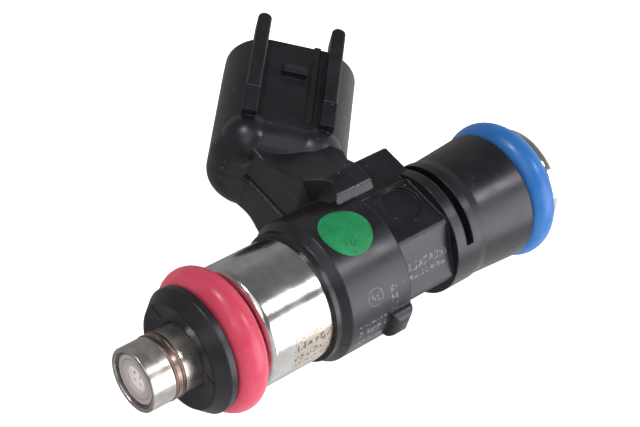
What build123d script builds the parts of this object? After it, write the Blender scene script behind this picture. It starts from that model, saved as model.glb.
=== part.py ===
from build123d import *
import math
import os

# Port fuel injector, compact length, in millimetres.
# The valve axis is X and points from the nozzle to the fuel inlet.  The origin is the centre of
# the lower sealing ring.  The electrical connector leans toward +Y, in the plane Z = 0, so the
# injector lies on its side on a bench with the latch face of the connector upward (+Z).

# ---- sealing rings (the standard pair for a 14 mm manifold port and a 13.5 mm rail cup) ----
RING_OUTER_RADIUS = 14.8 / 2
RING_SECTION = 3.53
UPPER_RING_X = 38.4
RING_END_GAP = 0.15

# ---- drawn steel valve tube ----
TUBE_RADIUS = RING_OUTER_RADIUS - RING_SECTION
TUBE_BORE = 3.15
NOZZLE_RADIUS = 3.25
NOZZLE_BORE = 2.6
NOZZLE_FRONT_X = -9.1
NOZZLE_REAR_X = -3.4
NOZZLE_STEP = 0.5
NOZZLE_LIP_ROUNDING = 0.18
NOZZLE_LIP_BORE = 2.82
INLET_END_X = 41.4
WELD_BEADS_X = (-6.35, -5.55)
WELD_HALF_WIDTH = 0.22
WELD_HEIGHT = 0.07

# ---- valve group ----
BALL_RADIUS = 1.6
BALL_X = -5.2
BALL_JOINT_GAP = 0.01
GUIDE_RADIUS = 1.65
SEAT_THROAT_RADIUS = 0.6
SEAT_FRONT_X = -8.25
SEAT_REAR_X = -4.35
SEAT_CONE_ANGLE = 45.0
SEAT_CONTACT_GAP = 0.005
PLATE_THICKNESS = 0.25
PLATE_RING_RADIUS = 1.4
PLATE_RING_OUTER = 2.5
SPRAY_HOLES = 4
SPRAY_HOLE_RADIUS = 0.14
SPRAY_CIRCLE_RADIUS = 0.62
PLATE_FIT = 0.02
NEEDLE_RADIUS = 1.0
NEEDLE_BORE = 0.55
NEEDLE_REAR_X = 4.9
NEEDLE_PORT_X = -2.4
NEEDLE_PORT_RADIUS = 0.4
ARMATURE_FRONT_X = 3.2
ARMATURE_REAR_X = 8.6
ARMATURE_CLEARANCE = 0.05
ARMATURE_BEVEL = 0.3
ARMATURE_PASSAGES = 4
PASSAGE_RADIUS = 0.35
PASSAGE_CIRCLE_RADIUS = 2.1
LIFT = 0.08
RESIDUAL_GAP = 0.02

# ---- fixed pole, spring and filter ----
POLE_REAR_X = 24.0
POLE_BORE = 1.6
SPRING_WIRE = 0.42
SPRING_RADIUS = 1.25
SPRING_TURNS = 8
SPRING_END_GAP = 0.01
ADJUSTER_FRONT_X = 14.0
ADJUSTER_LENGTH = 6.5
ADJUSTER_BORE = 0.95
ADJUSTER_SLIT_WIDTH = 0.4
ADJUSTER_SLIT_MARGIN = 0.75
FILTER_FRONT_X = 27.5
FILTER_REAR_X = 40.2
FILTER_RIBS = 3
FILTER_NOSE_LENGTH = 0.9
FILTER_NOSE_RADIUS = 2.1
FILTER_COLLAR_LENGTH = 2.2
FILTER_COLLAR_RADIUS = 2.75
FILTER_BORE = 2.0
FILTER_RING_LIP = 1.0
FILTER_RIB_RADIUS = 2.25
FILTER_RIB_WIDTH = 0.5
FILTER_RIB_DEPTH = 0.6
FILTER_RIB_OVERLAP = 0.4
MESH_RADIUS = 1.95
MESH_WALL = 0.15
FILTER_COLLAR_X = FILTER_REAR_X - FILTER_COLLAR_LENGTH

# ---- magnet circuit ----
HOUSING_RADIUS = 6.35
HOUSING_WALL = 0.65
HOUSING_FRONT_X = 2.1
HOUSING_REAR_X = 12.2
HOUSING_FRONT_WALL = 1.0
HOUSING_LIP = 0.75
COVER_THICKNESS = 1.2
COVER_RADIUS = 6.0
COVER_GAP_WIDTH = 3.6
COVER_GAP_FLOOR = 4.4
BOBBIN_FRONT_X = 3.3
BOBBIN_REAR_X = 12.0
BOBBIN_WALL = 0.5
BOBBIN_RADIUS = 5.55
WINDING_RADIUS = 5.35

# ---- plastic body ----
BODY_FRONT_X = 9.7
COLLAR_RADIUS = 6.75
COLLAR_LENGTH = 0.65
BARREL_RADIUS = 7.4
BARREL_START_X = 11.2
BARREL_END_X = 18.7
HEX_APOTHEM = 5.5
HEX_CORNER_RADIUS = 6.25
HEX_CORE_RADIUS = 5.2
HEX_END_OVERLAP = 0.5
FLANGE_RADIUS = 6.55
FLANGE_FRONT_X = 26.0
FLANGE_REAR_X = 29.2
SLOT_FRONT_X = 27.3
SLOT_WIDTH = 0.9
SLOT_DEPTH = 1.6
SLOT_HALF_ANGLE = 60.0
UPPER_WAIST_RADIUS = 6.42
UPPER_WAIST_X = 30.2
UPPER_RIM_RADIUS = 6.85
UPPER_RIM_X = UPPER_RING_X - RING_SECTION / 2 - RING_END_GAP
BLOCK_FRONT_X = 21.6
BLOCK_HALF_WIDTH = 5.0
BLOCK_TOP_Y = 7.8
BLOCK_CHAMFER = 0.3
GATE_DISC_RADIUS = 2.1
GATE_DISC_X = 23.3
GATE_DISC_Y = 0.8
GATE_DISC_DEPTH = 0.35
KEY_WIDTH = 3.3
KEY_FRONT_X = 16.0
KEY_REAR_X = 18.6
KEY_TOP = 8.4
KEY_ROUNDING = 1.1
KEY_ROOT = 5.9
PAINT_RADIUS = 2.7
PAINT_X = 14.55
PAINT_Y = -0.17
PAINT_THICKNESS = 0.05

# ---- connector: two blades, leaning 45 degrees toward the inlet ----
CONNECTOR_TILT = 45.0
CONNECTOR_ROOT_X = 5.1
SHROUD_WIDTH = 14.1
SHROUD_THICKNESS = 10.5
SHROUD_CORNER = 4.4
SHROUD_MOUTH = 33.1
SHROUD_END = 17.5
SHROUD_END_ROUNDING = 2.2
SHROUD_WALL = 1.25
SOCKET_DEPTH = 12.6
SHOULDER_PLACE = 20.1
SHOULDER_RADIUS = 2.2
SHOULDER_RISE = 0.25
SHOULDER_HALF_LENGTH = 3.4
SHOULDER_END_RADIUS = 2.9
SHOULDER_END_RISE = 0.42
RAIL_SPACING = 8.0
RAIL_WIDTH = 1.5
RAIL_HEIGHT = 1.4
RAIL_ROUNDING = 0.25
RAIL_TIP_ROUNDING = 0.73
RAIL_REACH = 2.55
RAIL_START = 21.1
RAIL_STEP = 24.2
RAIL_STEP_DROP = 0.35
RIB_START = 21.8
RIB_OFFSET = 2.1
RIB_WIDTH = 0.7
RIB_HEIGHT = 0.25
RAMP_START = 28.0
RAMP_CREST = 28.6
RAMP_END = 30.0
RAMP_WIDTH = 2.5
RAMP_HEIGHT = 0.85

# ---- arm between barrel and connector ----
NECK_FRONT_X = 15.5
NECK_REAR_X = 22.2
NECK_HALF_WIDTH = 4.1
NECK_SLOPE_END_Y = 12.8
NECK_END_Y = 16.0
NECK_END_RISE = 0.5
NECK_VALLEY_ROUNDING = 3.0
NECK_EDGE_ROUNDING = 0.25
HUMP_HALF_WIDTH = 7.45
HUMP_CREST_Y = 6.0
HUMP_SIDE_Y = 3.05
HUMP_REAR_X = 21.2
HUMP_TURN_X = 1.0
HUMP_TURN_Y = 7.1
NOTCH_APEX = (17.4, 5.3)
NOTCH_SLOPE = (0.5, -0.08)
NOTCH_LEFT = (14.0, 9.4)
NOTCH_RIGHT = (15.4, 0.3)
NOTCH_CLEARANCE = 1.0
HUMP_SIDE_ROUNDING = 0.7
SEAM_RIDGE_WIDTH = 0.7
SEAM_RIDGE_HEIGHT = 0.3

# ---- blades ----
BLADE_SPACING = 5.0
BLADE_WIDTH = 1.5
BLADE_THICKNESS = 0.8
BLADE_TIP = 27.2
BLADE_BEND = 19.6
NEAR_FOOT_X = 17.0
FAR_FOOT_X = 20.0
LEAD_END_OVERLAP = 0.5
FOOT_Y = 4.6
LEAD_RADIUS = 0.3
LEAD_Y = 5.0

# ---- lower support cap ----
CAP_RADIUS = 6.4
CAP_REAR_X = -1.9
CAP_RIM_X = -2.6
CAP_FRONT_X = -3.85
CAP_FACE_RADIUS = 5.4
CAP_FACE_WIDTH = 0.3
CAP_FUNNEL_X = -3.45
CAP_BORE_RADIUS = NOZZLE_RADIUS + 0.08
CAP_GROOVES = (160.0, 28.0)
CAP_GROOVE_WIDTH = 0.2
CAP_GROOVE_DEPTH = 0.25

# ---- inlet ----
INLET_FLANGE_RADIUS = 5.75
INLET_FLANGE_FRONT_X = UPPER_RING_X + RING_SECTION / 2 + RING_END_GAP
INLET_FLANGE_THICKNESS = 1.3
INLET_FLANGE_ROUNDING = 0.4


def along_axis(x):
    """Plane square to the valve axis at station x: local X is +Y and local Y is +Z."""
    return Plane(origin=(x, 0, 0), x_dir=(0, 1, 0), z_dir=(1, 0, 0))


def tube(front_x, rear_x, outer, inner=0.0):
    """Round solid on the valve axis, hollow when inner is given."""
    section = Circle(outer)
    if inner:
        section -= Circle(inner)
    return extrude(along_axis(front_x) * section, rear_x - front_x)


def turned(*points):
    """Solid of revolution about the valve axis from (x, radius) corner points."""
    outline = make_face(Polyline(*points, close=True))
    return revolve(outline, Axis.X)


def in_connector(along, across, z=0.0):
    """Point given by its distance along the connector axis and across it, toward the inlet."""
    tilt = math.radians(CONNECTOR_TILT)
    x = CONNECTOR_ROOT_X + along * math.cos(tilt) + across * math.sin(tilt)
    y = along * math.sin(tilt) - across * math.cos(tilt)
    return Vector(x, y, z)


def across_connector(along):
    """Plane square to the connector axis: local X points toward the inlet, local Y is -Z."""
    tilt = math.radians(CONNECTOR_TILT)
    return Plane(
        origin=in_connector(along, 0),
        x_dir=(math.sin(tilt), -math.cos(tilt), 0),
        z_dir=(math.cos(tilt), math.sin(tilt), 0),
    )


def mirrored_in_z(shape):
    """The shape together with its mirror image in the symmetry plane Z = 0."""
    return shape + mirror(shape, about=Plane.XY)


# ---------------------------------------------------------------- seals and hydraulic pieces

def sealing_ring(x):
    """Round-section ring that sits on the valve tube."""
    middle_radius = RING_OUTER_RADIUS - RING_SECTION / 2
    section = Plane.XY * Pos(x, middle_radius) * Circle(RING_SECTION / 2)
    return revolve(section, Axis.X)


def valve_sleeve():
    """Drawn tube: narrow nozzle end with a rolled lip, then one diameter up to the inlet."""
    shell = turned(
        (NOZZLE_FRONT_X, NOZZLE_LIP_BORE),
        (NOZZLE_FRONT_X, NOZZLE_RADIUS),
        (NOZZLE_REAR_X, NOZZLE_RADIUS),
        (NOZZLE_REAR_X + NOZZLE_STEP, TUBE_RADIUS),
        (INLET_END_X, TUBE_RADIUS),
        (INLET_END_X, TUBE_BORE),
        (NOZZLE_REAR_X + NOZZLE_STEP, TUBE_BORE),
        (NOZZLE_REAR_X, NOZZLE_BORE),
        (SEAT_FRONT_X - PLATE_THICKNESS, NOZZLE_BORE),
        (SEAT_FRONT_X - PLATE_THICKNESS, NOZZLE_LIP_BORE),
    )
    front_edges = shell.edges().filter_by(GeomType.CIRCLE).group_by(Axis.X)[0]
    return fillet(front_edges, NOZZLE_LIP_ROUNDING)


def nozzle_welds():
    """The two weld beads that seal the seat into the nozzle end of the tube."""
    beads = [
        turned(
            (x - WELD_HALF_WIDTH, NOZZLE_RADIUS),
            (x, NOZZLE_RADIUS + WELD_HEIGHT),
            (x + WELD_HALF_WIDTH, NOZZLE_RADIUS),
        )
        for x in WELD_BEADS_X
    ]
    return Compound(children=beads)


def valve_seat():
    """Conical seat with a guide bore for the ball."""
    contact = BALL_RADIUS * math.cos(math.radians(SEAT_CONE_ANGLE))
    contact_x = BALL_X - contact - SEAT_CONTACT_GAP
    throat_x = contact_x - (contact - SEAT_THROAT_RADIUS)
    guide_x = contact_x + (GUIDE_RADIUS - contact)
    return turned(
        (SEAT_FRONT_X, SEAT_THROAT_RADIUS),
        (SEAT_FRONT_X, NOZZLE_BORE),
        (SEAT_REAR_X, NOZZLE_BORE),
        (SEAT_REAR_X, GUIDE_RADIUS),
        (guide_x, GUIDE_RADIUS),
        (throat_x, SEAT_THROAT_RADIUS),
    )


def orifice_plate():
    """Thin spray plate with four small holes and a raised ring round them."""
    plate = tube(SEAT_FRONT_X - PLATE_THICKNESS, SEAT_FRONT_X, NOZZLE_BORE - PLATE_FIT)
    ring = tube(
        SEAT_FRONT_X - 2 * PLATE_THICKNESS,
        SEAT_FRONT_X - PLATE_THICKNESS,
        PLATE_RING_OUTER,
        PLATE_RING_RADIUS,
    )
    plate += ring
    for hole in PolarLocations(SPRAY_CIRCLE_RADIUS, SPRAY_HOLES, start_angle=30):
        plane = along_axis(SEAT_FRONT_X - 2 * PLATE_THICKNESS)
        plate -= extrude(plane * hole * Circle(SPRAY_HOLE_RADIUS), 3 * PLATE_THICKNESS)
    return plate


def valve_ball():
    """Closing ball with fuel flats left out: it seals on the cone."""
    return Pos(BALL_X, 0, 0) * Sphere(BALL_RADIUS)


def valve_needle():
    """Hollow stem between the ball and the armature, with two cross ports for the fuel."""
    front_x = BALL_X + math.sqrt(BALL_RADIUS**2 - NEEDLE_BORE**2) + BALL_JOINT_GAP
    stem = tube(front_x, NEEDLE_REAR_X, NEEDLE_RADIUS, NEEDLE_BORE)
    port = Pos(NEEDLE_PORT_X, 0, 0) * Cylinder(NEEDLE_PORT_RADIUS, 3 * NEEDLE_RADIUS)
    return stem - port


def armature():
    """Soft iron plunger: stem hole in front, spring pocket behind, fuel passages between."""
    outer = TUBE_BORE - ARMATURE_CLEARANCE
    body = tube(ARMATURE_FRONT_X, NEEDLE_REAR_X, outer, NEEDLE_RADIUS)
    body += tube(NEEDLE_REAR_X, ARMATURE_REAR_X, outer, POLE_BORE)
    front_edges = body.edges().filter_by(GeomType.CIRCLE).group_by(Axis.X)[0]
    body = chamfer(front_edges.sort_by(SortBy.LENGTH)[-1], ARMATURE_BEVEL)
    wall = NEEDLE_REAR_X - ARMATURE_FRONT_X
    for passage in PolarLocations(PASSAGE_CIRCLE_RADIUS, ARMATURE_PASSAGES, start_angle=45):
        body -= extrude(along_axis(ARMATURE_FRONT_X) * passage * Circle(PASSAGE_RADIUS), wall)
    return body


def return_spring():
    """Coil spring between the armature and the adjusting sleeve, at its length with the valve open."""
    front_x = NEEDLE_REAR_X + LIFT + SPRING_WIRE / 2 + SPRING_END_GAP
    length = ADJUSTER_FRONT_X - SPRING_WIRE / 2 - SPRING_END_GAP - front_x
    path = Helix(pitch=length / SPRING_TURNS, height=length, radius=SPRING_RADIUS)
    profile = Plane(origin=path @ 0, z_dir=path % 0) * Circle(SPRING_WIRE / 2)
    coil = sweep(profile, path=path)
    return Pos(front_x, 0, 0) * Rot(0, 90, 0) * coil


def inner_pole():
    """Fixed magnetic core pressed into the tube behind the armature."""
    front_x = ARMATURE_REAR_X + LIFT + RESIDUAL_GAP
    return tube(front_x, POLE_REAR_X, TUBE_BORE, POLE_BORE)


def adjusting_sleeve():
    """Slotted tube that preloads the spring."""
    rear_x = ADJUSTER_FRONT_X + ADJUSTER_LENGTH
    sleeve = tube(ADJUSTER_FRONT_X, rear_x, POLE_BORE, ADJUSTER_BORE)
    slit = Pos(ADJUSTER_FRONT_X + ADJUSTER_LENGTH / 2, POLE_BORE, 0) * Box(
        ADJUSTER_LENGTH - 2 * ADJUSTER_SLIT_MARGIN, 2 * POLE_BORE, ADJUSTER_SLIT_WIDTH
    )
    return sleeve - slit


def filter_frame():
    """Plastic cage of the inlet filter: closed nose, three ribs and a collar."""
    nose = tube(FILTER_FRONT_X, FILTER_FRONT_X + FILTER_NOSE_LENGTH, FILTER_NOSE_RADIUS)
    lip_x = FILTER_REAR_X - FILTER_RING_LIP
    collar = tube(FILTER_COLLAR_X, lip_x, FILTER_COLLAR_RADIUS, FILTER_BORE)
    cage = nose + collar
    span = FILTER_COLLAR_X - FILTER_FRONT_X + FILTER_RIB_OVERLAP
    for place in PolarLocations(FILTER_RIB_RADIUS, FILTER_RIBS):
        section = place * Rectangle(FILTER_RIB_WIDTH, FILTER_RIB_DEPTH)
        cage += extrude(along_axis(FILTER_FRONT_X) * section, span)
    return cage


def filter_mesh():
    """Fine basket inside the cage, modelled as a thin sleeve."""
    front_x = FILTER_FRONT_X + FILTER_NOSE_LENGTH
    return tube(front_x, FILTER_COLLAR_X, MESH_RADIUS, MESH_RADIUS - MESH_WALL)


def filter_ring():
    """Brass ring that holds the filter in the inlet bore, with a lip behind the cage."""
    ring = tube(FILTER_COLLAR_X, FILTER_REAR_X, TUBE_BORE, FILTER_COLLAR_RADIUS)
    return ring + tube(FILTER_REAR_X - FILTER_RING_LIP, FILTER_REAR_X, TUBE_BORE, FILTER_BORE)


def inlet_flange():
    """Polished collar at the end of the tube that keeps the upper ring in place."""
    rear_x = INLET_FLANGE_FRONT_X + INLET_FLANGE_THICKNESS
    collar = tube(INLET_FLANGE_FRONT_X, rear_x, INLET_FLANGE_RADIUS, TUBE_RADIUS)
    rims = collar.edges().filter_by(GeomType.CIRCLE)
    outer_rims = rims.filter_by(lambda edge: edge.radius > TUBE_RADIUS + INLET_FLANGE_ROUNDING)
    return fillet(outer_rims, INLET_FLANGE_ROUNDING)


def lower_support_cap():
    """Plastic ring in front of the lower seal: coned rim, funnel face and two hairline grooves."""
    cap = turned(
        (CAP_REAR_X, TUBE_RADIUS),
        (CAP_REAR_X, CAP_RADIUS),
        (CAP_RIM_X, CAP_RADIUS),
        (CAP_FRONT_X, CAP_FACE_RADIUS),
        (CAP_FRONT_X, CAP_FACE_RADIUS - CAP_FACE_WIDTH),
        (CAP_FUNNEL_X, CAP_BORE_RADIUS),
        (NOZZLE_REAR_X, CAP_BORE_RADIUS),
        (NOZZLE_REAR_X + NOZZLE_STEP, TUBE_RADIUS),
    )
    length = CAP_FACE_RADIUS - TUBE_RADIUS
    floor_x = (CAP_FUNNEL_X + CAP_FRONT_X) / 2
    for angle in CAP_GROOVES:
        groove = Pos(floor_x, CAP_FACE_RADIUS - length / 2, 0) * Box(
            2 * CAP_GROOVE_DEPTH, length, CAP_GROOVE_WIDTH
        )
        cap -= Rot(angle, 0, 0) * groove
    return cap


# ---------------------------------------------------------------- magnet circuit

def magnet_housing():
    """Bright plated shell with a rounded front lip, open toward the inlet."""
    shell = tube(HOUSING_FRONT_X, HOUSING_REAR_X, HOUSING_RADIUS)
    lip = shell.edges().filter_by(GeomType.CIRCLE).group_by(Axis.X)[0]
    shell = fillet(lip, HOUSING_LIP)
    shell -= tube(
        HOUSING_FRONT_X + HOUSING_FRONT_WALL, HOUSING_REAR_X + 1, HOUSING_RADIUS - HOUSING_WALL
    )
    return shell - tube(HOUSING_FRONT_X - 1, HOUSING_REAR_X, TUBE_RADIUS)


def magnet_cover():
    """Steel washer that closes the magnetic circuit, cut away for the coil leads."""
    rear_x = HOUSING_REAR_X + COVER_THICKNESS
    cover = tube(HOUSING_REAR_X, rear_x, COVER_RADIUS, TUBE_RADIUS)
    gap = Pos(HOUSING_REAR_X + COVER_THICKNESS / 2, COVER_RADIUS, 0) * Box(
        2 * COVER_THICKNESS, 2 * (COVER_RADIUS - COVER_GAP_FLOOR), COVER_GAP_WIDTH
    )
    return cover - gap


def coil_bobbin():
    """Plastic spool of the coil."""
    hub_radius = TUBE_RADIUS + BOBBIN_WALL
    spool = tube(BOBBIN_FRONT_X, BOBBIN_REAR_X, hub_radius, TUBE_RADIUS)
    for x in (BOBBIN_FRONT_X, BOBBIN_REAR_X - BOBBIN_WALL):
        spool += tube(x, x + BOBBIN_WALL, BOBBIN_RADIUS, TUBE_RADIUS)
    return spool


def coil_winding():
    """Copper winding between the spool's cheeks."""
    front_x = BOBBIN_FRONT_X + BOBBIN_WALL
    rear_x = BOBBIN_REAR_X - BOBBIN_WALL
    return tube(front_x, rear_x, WINDING_RADIUS, TUBE_RADIUS + BOBBIN_WALL)


def blade(across, foot_x):
    """One flat terminal: straight blade in the socket, bent down to a foot beside the coil."""
    tip = in_connector(BLADE_TIP, across)
    knee = in_connector(BLADE_BEND, across)
    foot_drop = BLADE_WIDTH / 2
    route = Polyline((tip.X, tip.Y), (knee.X, knee.Y), (foot_x, knee.Y - foot_drop), (foot_x, FOOT_Y))
    strip = trace(route, BLADE_WIDTH)
    return extrude(strip, BLADE_THICKNESS / 2, both=True)


def terminals():
    """The two blades, one solid each."""
    near = blade(-BLADE_SPACING / 2, NEAR_FOOT_X)
    far = blade(BLADE_SPACING / 2, FAR_FOOT_X)
    return Compound(children=[near, far])


def coil_leads():
    """Wire ends from the spool to the feet of the two blades."""
    side = BLADE_THICKNESS / 2 + LEAD_RADIUS
    near = Pos(0, LEAD_Y, -side) * tube(BOBBIN_REAR_X, NEAR_FOOT_X + LEAD_END_OVERLAP, LEAD_RADIUS)
    far = Pos(0, LEAD_Y, side) * tube(BOBBIN_REAR_X, FAR_FOOT_X + LEAD_END_OVERLAP, LEAD_RADIUS)
    return Compound(children=[near, far])


# ---------------------------------------------------------------- plastic body

def barrel():
    """Round part of the body: stepped collar, barrel, flange, waist and flared upper end."""
    return turned(
        (BODY_FRONT_X, 0),
        (BODY_FRONT_X, COLLAR_RADIUS),
        (BODY_FRONT_X + COLLAR_LENGTH, COLLAR_RADIUS),
        (BARREL_START_X, BARREL_RADIUS),
        (BARREL_END_X, BARREL_RADIUS),
        (BARREL_END_X, HEX_CORE_RADIUS),
        (FLANGE_FRONT_X, HEX_CORE_RADIUS),
        (FLANGE_FRONT_X, FLANGE_RADIUS),
        (FLANGE_REAR_X, FLANGE_RADIUS),
        (UPPER_WAIST_X, UPPER_WAIST_RADIUS),
        (UPPER_RIM_X, UPPER_RIM_RADIUS),
        (UPPER_RIM_X, 0),
    )


def hexagonal_neck():
    """Six flats between the barrel and the flange, with the corners rounded off."""
    flats = RegularPolygon(HEX_APOTHEM, 6, major_radius=False, rotation=0)
    flats = flats & Circle(HEX_CORNER_RADIUS)
    length = FLANGE_FRONT_X - BARREL_END_X + 2 * HEX_END_OVERLAP
    neck = extrude(along_axis(BARREL_END_X - HEX_END_OVERLAP) * flats, length)
    disc = Cylinder(GATE_DISC_RADIUS, 2 * GATE_DISC_DEPTH)
    return neck - mirrored_in_z(Pos(GATE_DISC_X, GATE_DISC_Y, HEX_APOTHEM) * disc)


def clip_slots():
    """Material taken out for the rail clip: one slot on each side of the flange."""
    rear_x = SLOT_FRONT_X + SLOT_WIDTH
    ring = tube(SLOT_FRONT_X, rear_x, FLANGE_RADIUS + 1, FLANGE_RADIUS - SLOT_DEPTH)
    reach = 2 * FLANGE_RADIUS
    half = math.tan(math.radians(SLOT_HALF_ANGLE)) * reach
    wedge = make_face(Polyline((0, 0), (half, reach), (-half, reach), close=True))
    side = extrude(along_axis(SLOT_FRONT_X - 1) * wedge, SLOT_WIDTH + 2)
    return mirrored_in_z(ring & side)


def clip_block():
    """Square block on the connector side, against the clip slots."""
    width = SLOT_FRONT_X - BLOCK_FRONT_X
    centre_x = BLOCK_FRONT_X + width / 2
    block = Pos(centre_x, BLOCK_TOP_Y / 2, 0) * Box(width, BLOCK_TOP_Y, 2 * BLOCK_HALF_WIDTH)
    return chamfer(block.edges().filter_by(Axis.X).group_by(Axis.Y)[-1], BLOCK_CHAMFER)


def locating_key():
    """Small rounded key under the barrel that turns the injector the right way round."""
    middle = Pos((KEY_FRONT_X + KEY_REAR_X) / 2, -(KEY_TOP + KEY_ROOT) / 2, 0)
    key = middle * Box(KEY_REAR_X - KEY_FRONT_X, KEY_TOP - KEY_ROOT, KEY_WIDTH)
    return fillet(key.edges().group_by(Axis.Y)[0], KEY_ROUNDING)


def hump_notch():
    """Sloping notch taken out of the hump's end toward the nozzle."""
    outline = Polyline(NOTCH_APEX, NOTCH_LEFT, NOTCH_RIGHT, close=True)
    mouth = Pos(0, 0, HUMP_HALF_WIDTH) * make_face(outline)
    lean = Vector(*NOTCH_SLOPE, 1)
    return extrude(mouth, NOTCH_CLEARANCE, dir=lean) + extrude(mouth, HUMP_HALF_WIDTH, dir=-lean)


def neck_half():
    """Upper half of the arm to the connector: a level hump, then a slope down to the shroud."""
    side_z = math.sqrt(BARREL_RADIUS**2 - HUMP_SIDE_Y**2)
    profile = make_face(
        Polyline(
            (HUMP_SIDE_Y, 0),
            (HUMP_SIDE_Y, side_z),
            (HUMP_SIDE_Y + HUMP_HALF_WIDTH - side_z, HUMP_HALF_WIDTH),
            (HUMP_CREST_Y, HUMP_HALF_WIDTH),
            (NECK_SLOPE_END_Y, NECK_HALF_WIDTH),
            (NECK_END_Y, NECK_HALF_WIDTH + NECK_END_RISE),
            (NECK_END_Y, 0),
            close=True,
        )
    )
    arm = extrude(along_axis(NECK_FRONT_X) * profile, NECK_REAR_X - NECK_FRONT_X)
    plan = make_face(
        Polyline(
            (NECK_FRONT_X, NECK_END_Y),
            (NECK_FRONT_X, HUMP_TURN_Y),
            (NECK_FRONT_X + HUMP_TURN_X, HUMP_SIDE_Y),
            (HUMP_REAR_X, HUMP_SIDE_Y),
            (HUMP_REAR_X, HUMP_TURN_Y),
            (NECK_REAR_X, BLOCK_TOP_Y + 1),
            (NECK_REAR_X, NECK_END_Y),
            close=True,
        )
    )
    arm &= extrude(plan, HUMP_HALF_WIDTH + 1)
    arm -= hump_notch()
    valley = arm.edges().filter_by(Axis.X).sort_by_distance(
        Vector(NECK_FRONT_X, NECK_SLOPE_END_Y, NECK_HALF_WIDTH)
    )[0]
    arm = fillet(valley, NECK_VALLEY_ROUNDING)
    side_edge = arm.edges().filter_by(Axis.X).sort_by_distance(
        Vector(HUMP_REAR_X, HUMP_SIDE_Y, HUMP_HALF_WIDTH)
    )[0]
    arm = fillet(side_edge, HUMP_SIDE_ROUNDING)
    front_edges = arm.edges().group_by(Axis.X)[0]
    top_edges = front_edges.filter_by_position(Axis.Z, NECK_HALF_WIDTH, HUMP_HALF_WIDTH)
    return fillet(top_edges, NECK_EDGE_ROUNDING)


def neck():
    """Both halves of the arm and the seam ridge along its nozzle side."""
    seam = Pos(NECK_FRONT_X, (HUMP_TURN_Y + NECK_END_Y) / 2, 0) * Box(
        2 * SEAM_RIDGE_HEIGHT, NECK_END_Y - HUMP_TURN_Y - 1, SEAM_RIDGE_WIDTH
    )
    return mirrored_in_z(neck_half()) + seam


def connector_shroud():
    """Outer box of the connector, its closed end well rounded."""
    section = RectangleRounded(SHROUD_WIDTH, SHROUD_THICKNESS, SHROUD_CORNER)
    box = extrude(across_connector(SHROUD_END) * section, SHROUD_MOUTH - SHROUD_END)
    end_edges = box.faces().sort_by_distance(in_connector(SHROUD_END, 0))[0].edges()
    return fillet(end_edges, SHROUD_END_ROUNDING)


def shroud_shoulder():
    """Rounded swelling across the latch face, with a larger boss under each guide rail."""
    face = SHROUD_THICKNESS / 2
    plane = across_connector(SHOULDER_PLACE)
    bar = plane * Pos(0, -(face + SHOULDER_RISE - SHOULDER_RADIUS), 0) * Rot(0, 90, 0)
    shoulder = bar * Cylinder(SHOULDER_RADIUS, 2 * SHOULDER_HALF_LENGTH)
    boss_height = face + SHOULDER_END_RISE - SHOULDER_END_RADIUS
    for side in (-1, 1):
        boss = Pos(side * SHOULDER_HALF_LENGTH, -boss_height, 0) * Sphere(SHOULDER_END_RADIUS)
        shoulder += plane * boss
    return shoulder


def socket():
    """Inside of the connector."""
    section = RectangleRounded(
        SHROUD_WIDTH - 2 * SHROUD_WALL,
        SHROUD_THICKNESS - 2 * SHROUD_WALL,
        SHROUD_CORNER - SHROUD_WALL,
    )
    return extrude(across_connector(SHROUD_MOUTH - SOCKET_DEPTH) * section, SOCKET_DEPTH + 1)


def bar_on_face(start, end, across, width, low, high):
    """Straight bar on the latch face, from start to end along the connector."""
    section = Pos(across, -(low + high) / 2) * Rectangle(width, high - low)
    return extrude(across_connector(start) * section, end - start)


def guide_rail(across):
    """Rail with rounded top edges and a round tip, lower behind the step."""
    face = SHROUD_THICKNESS / 2
    tip = SHROUD_MOUTH + RAIL_REACH
    sunk = face - RAIL_WIDTH / 2
    crest = face + RAIL_HEIGHT
    rail = bar_on_face(RAIL_STEP, tip, across, RAIL_WIDTH, sunk, crest)
    tip_face = rail.faces().sort_by_distance(in_connector(tip, across, face))[0]
    rail = fillet(tip_face.edges().filter_by(Axis.Z), RAIL_TIP_ROUNDING)
    rail = fillet(rail.edges().group_by(Axis.Z)[-1], RAIL_ROUNDING)
    tail = bar_on_face(RAIL_START, RAIL_STEP, across, RAIL_WIDTH, sunk, crest - RAIL_STEP_DROP)
    return rail + tail


def latch_ramp():
    """Wedge that the plug's latch snaps over: sloped toward the mouth, steep behind."""
    face = SHROUD_THICKNESS / 2
    outline = make_face(
        Polyline(
            (RAMP_START, face - 1),
            (RAMP_START, face + RAMP_HEIGHT),
            (RAMP_CREST, face + RAMP_HEIGHT),
            (RAMP_END, face),
            (RAMP_END, face - 1),
            close=True,
        )
    )
    wedge = Plane.XZ * outline
    upright = extrude(wedge, RAMP_WIDTH / 2, both=True)
    return Pos(CONNECTOR_ROOT_X, 0, 0) * Rot(0, 0, CONNECTOR_TILT) * upright


def latch_face():
    """Two guide rails, a flat rib beside one of them and the latch ramp."""
    face = SHROUD_THICKNESS / 2
    rails = [guide_rail(side * RAIL_SPACING / 2) for side in (-1, 1)]
    rib = bar_on_face(
        RIB_START, SHROUD_MOUTH, RIB_OFFSET, RIB_WIDTH, face - RIB_WIDTH, face + RIB_HEIGHT
    )
    return [*rails, rib, latch_ramp()]


def overmoulded_body():
    """Body and connector, moulded in one piece round the tube, magnet and blades."""
    body = barrel() + hexagonal_neck() + clip_block() + locating_key()
    body += neck() + connector_shroud() + shroud_shoulder()
    for detail in latch_face():
        body += detail
    body -= clip_slots() + socket()
    body -= tube(BODY_FRONT_X - 1, UPPER_RIM_X + 1, TUBE_RADIUS)
    body -= tube(BODY_FRONT_X - 1, HOUSING_REAR_X, HOUSING_RADIUS)
    body -= tube(BODY_FRONT_X, HOUSING_REAR_X + COVER_THICKNESS, COVER_RADIUS)
    for insert in terminals().solids() + coil_leads().solids():
        body -= insert
    return body


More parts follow.
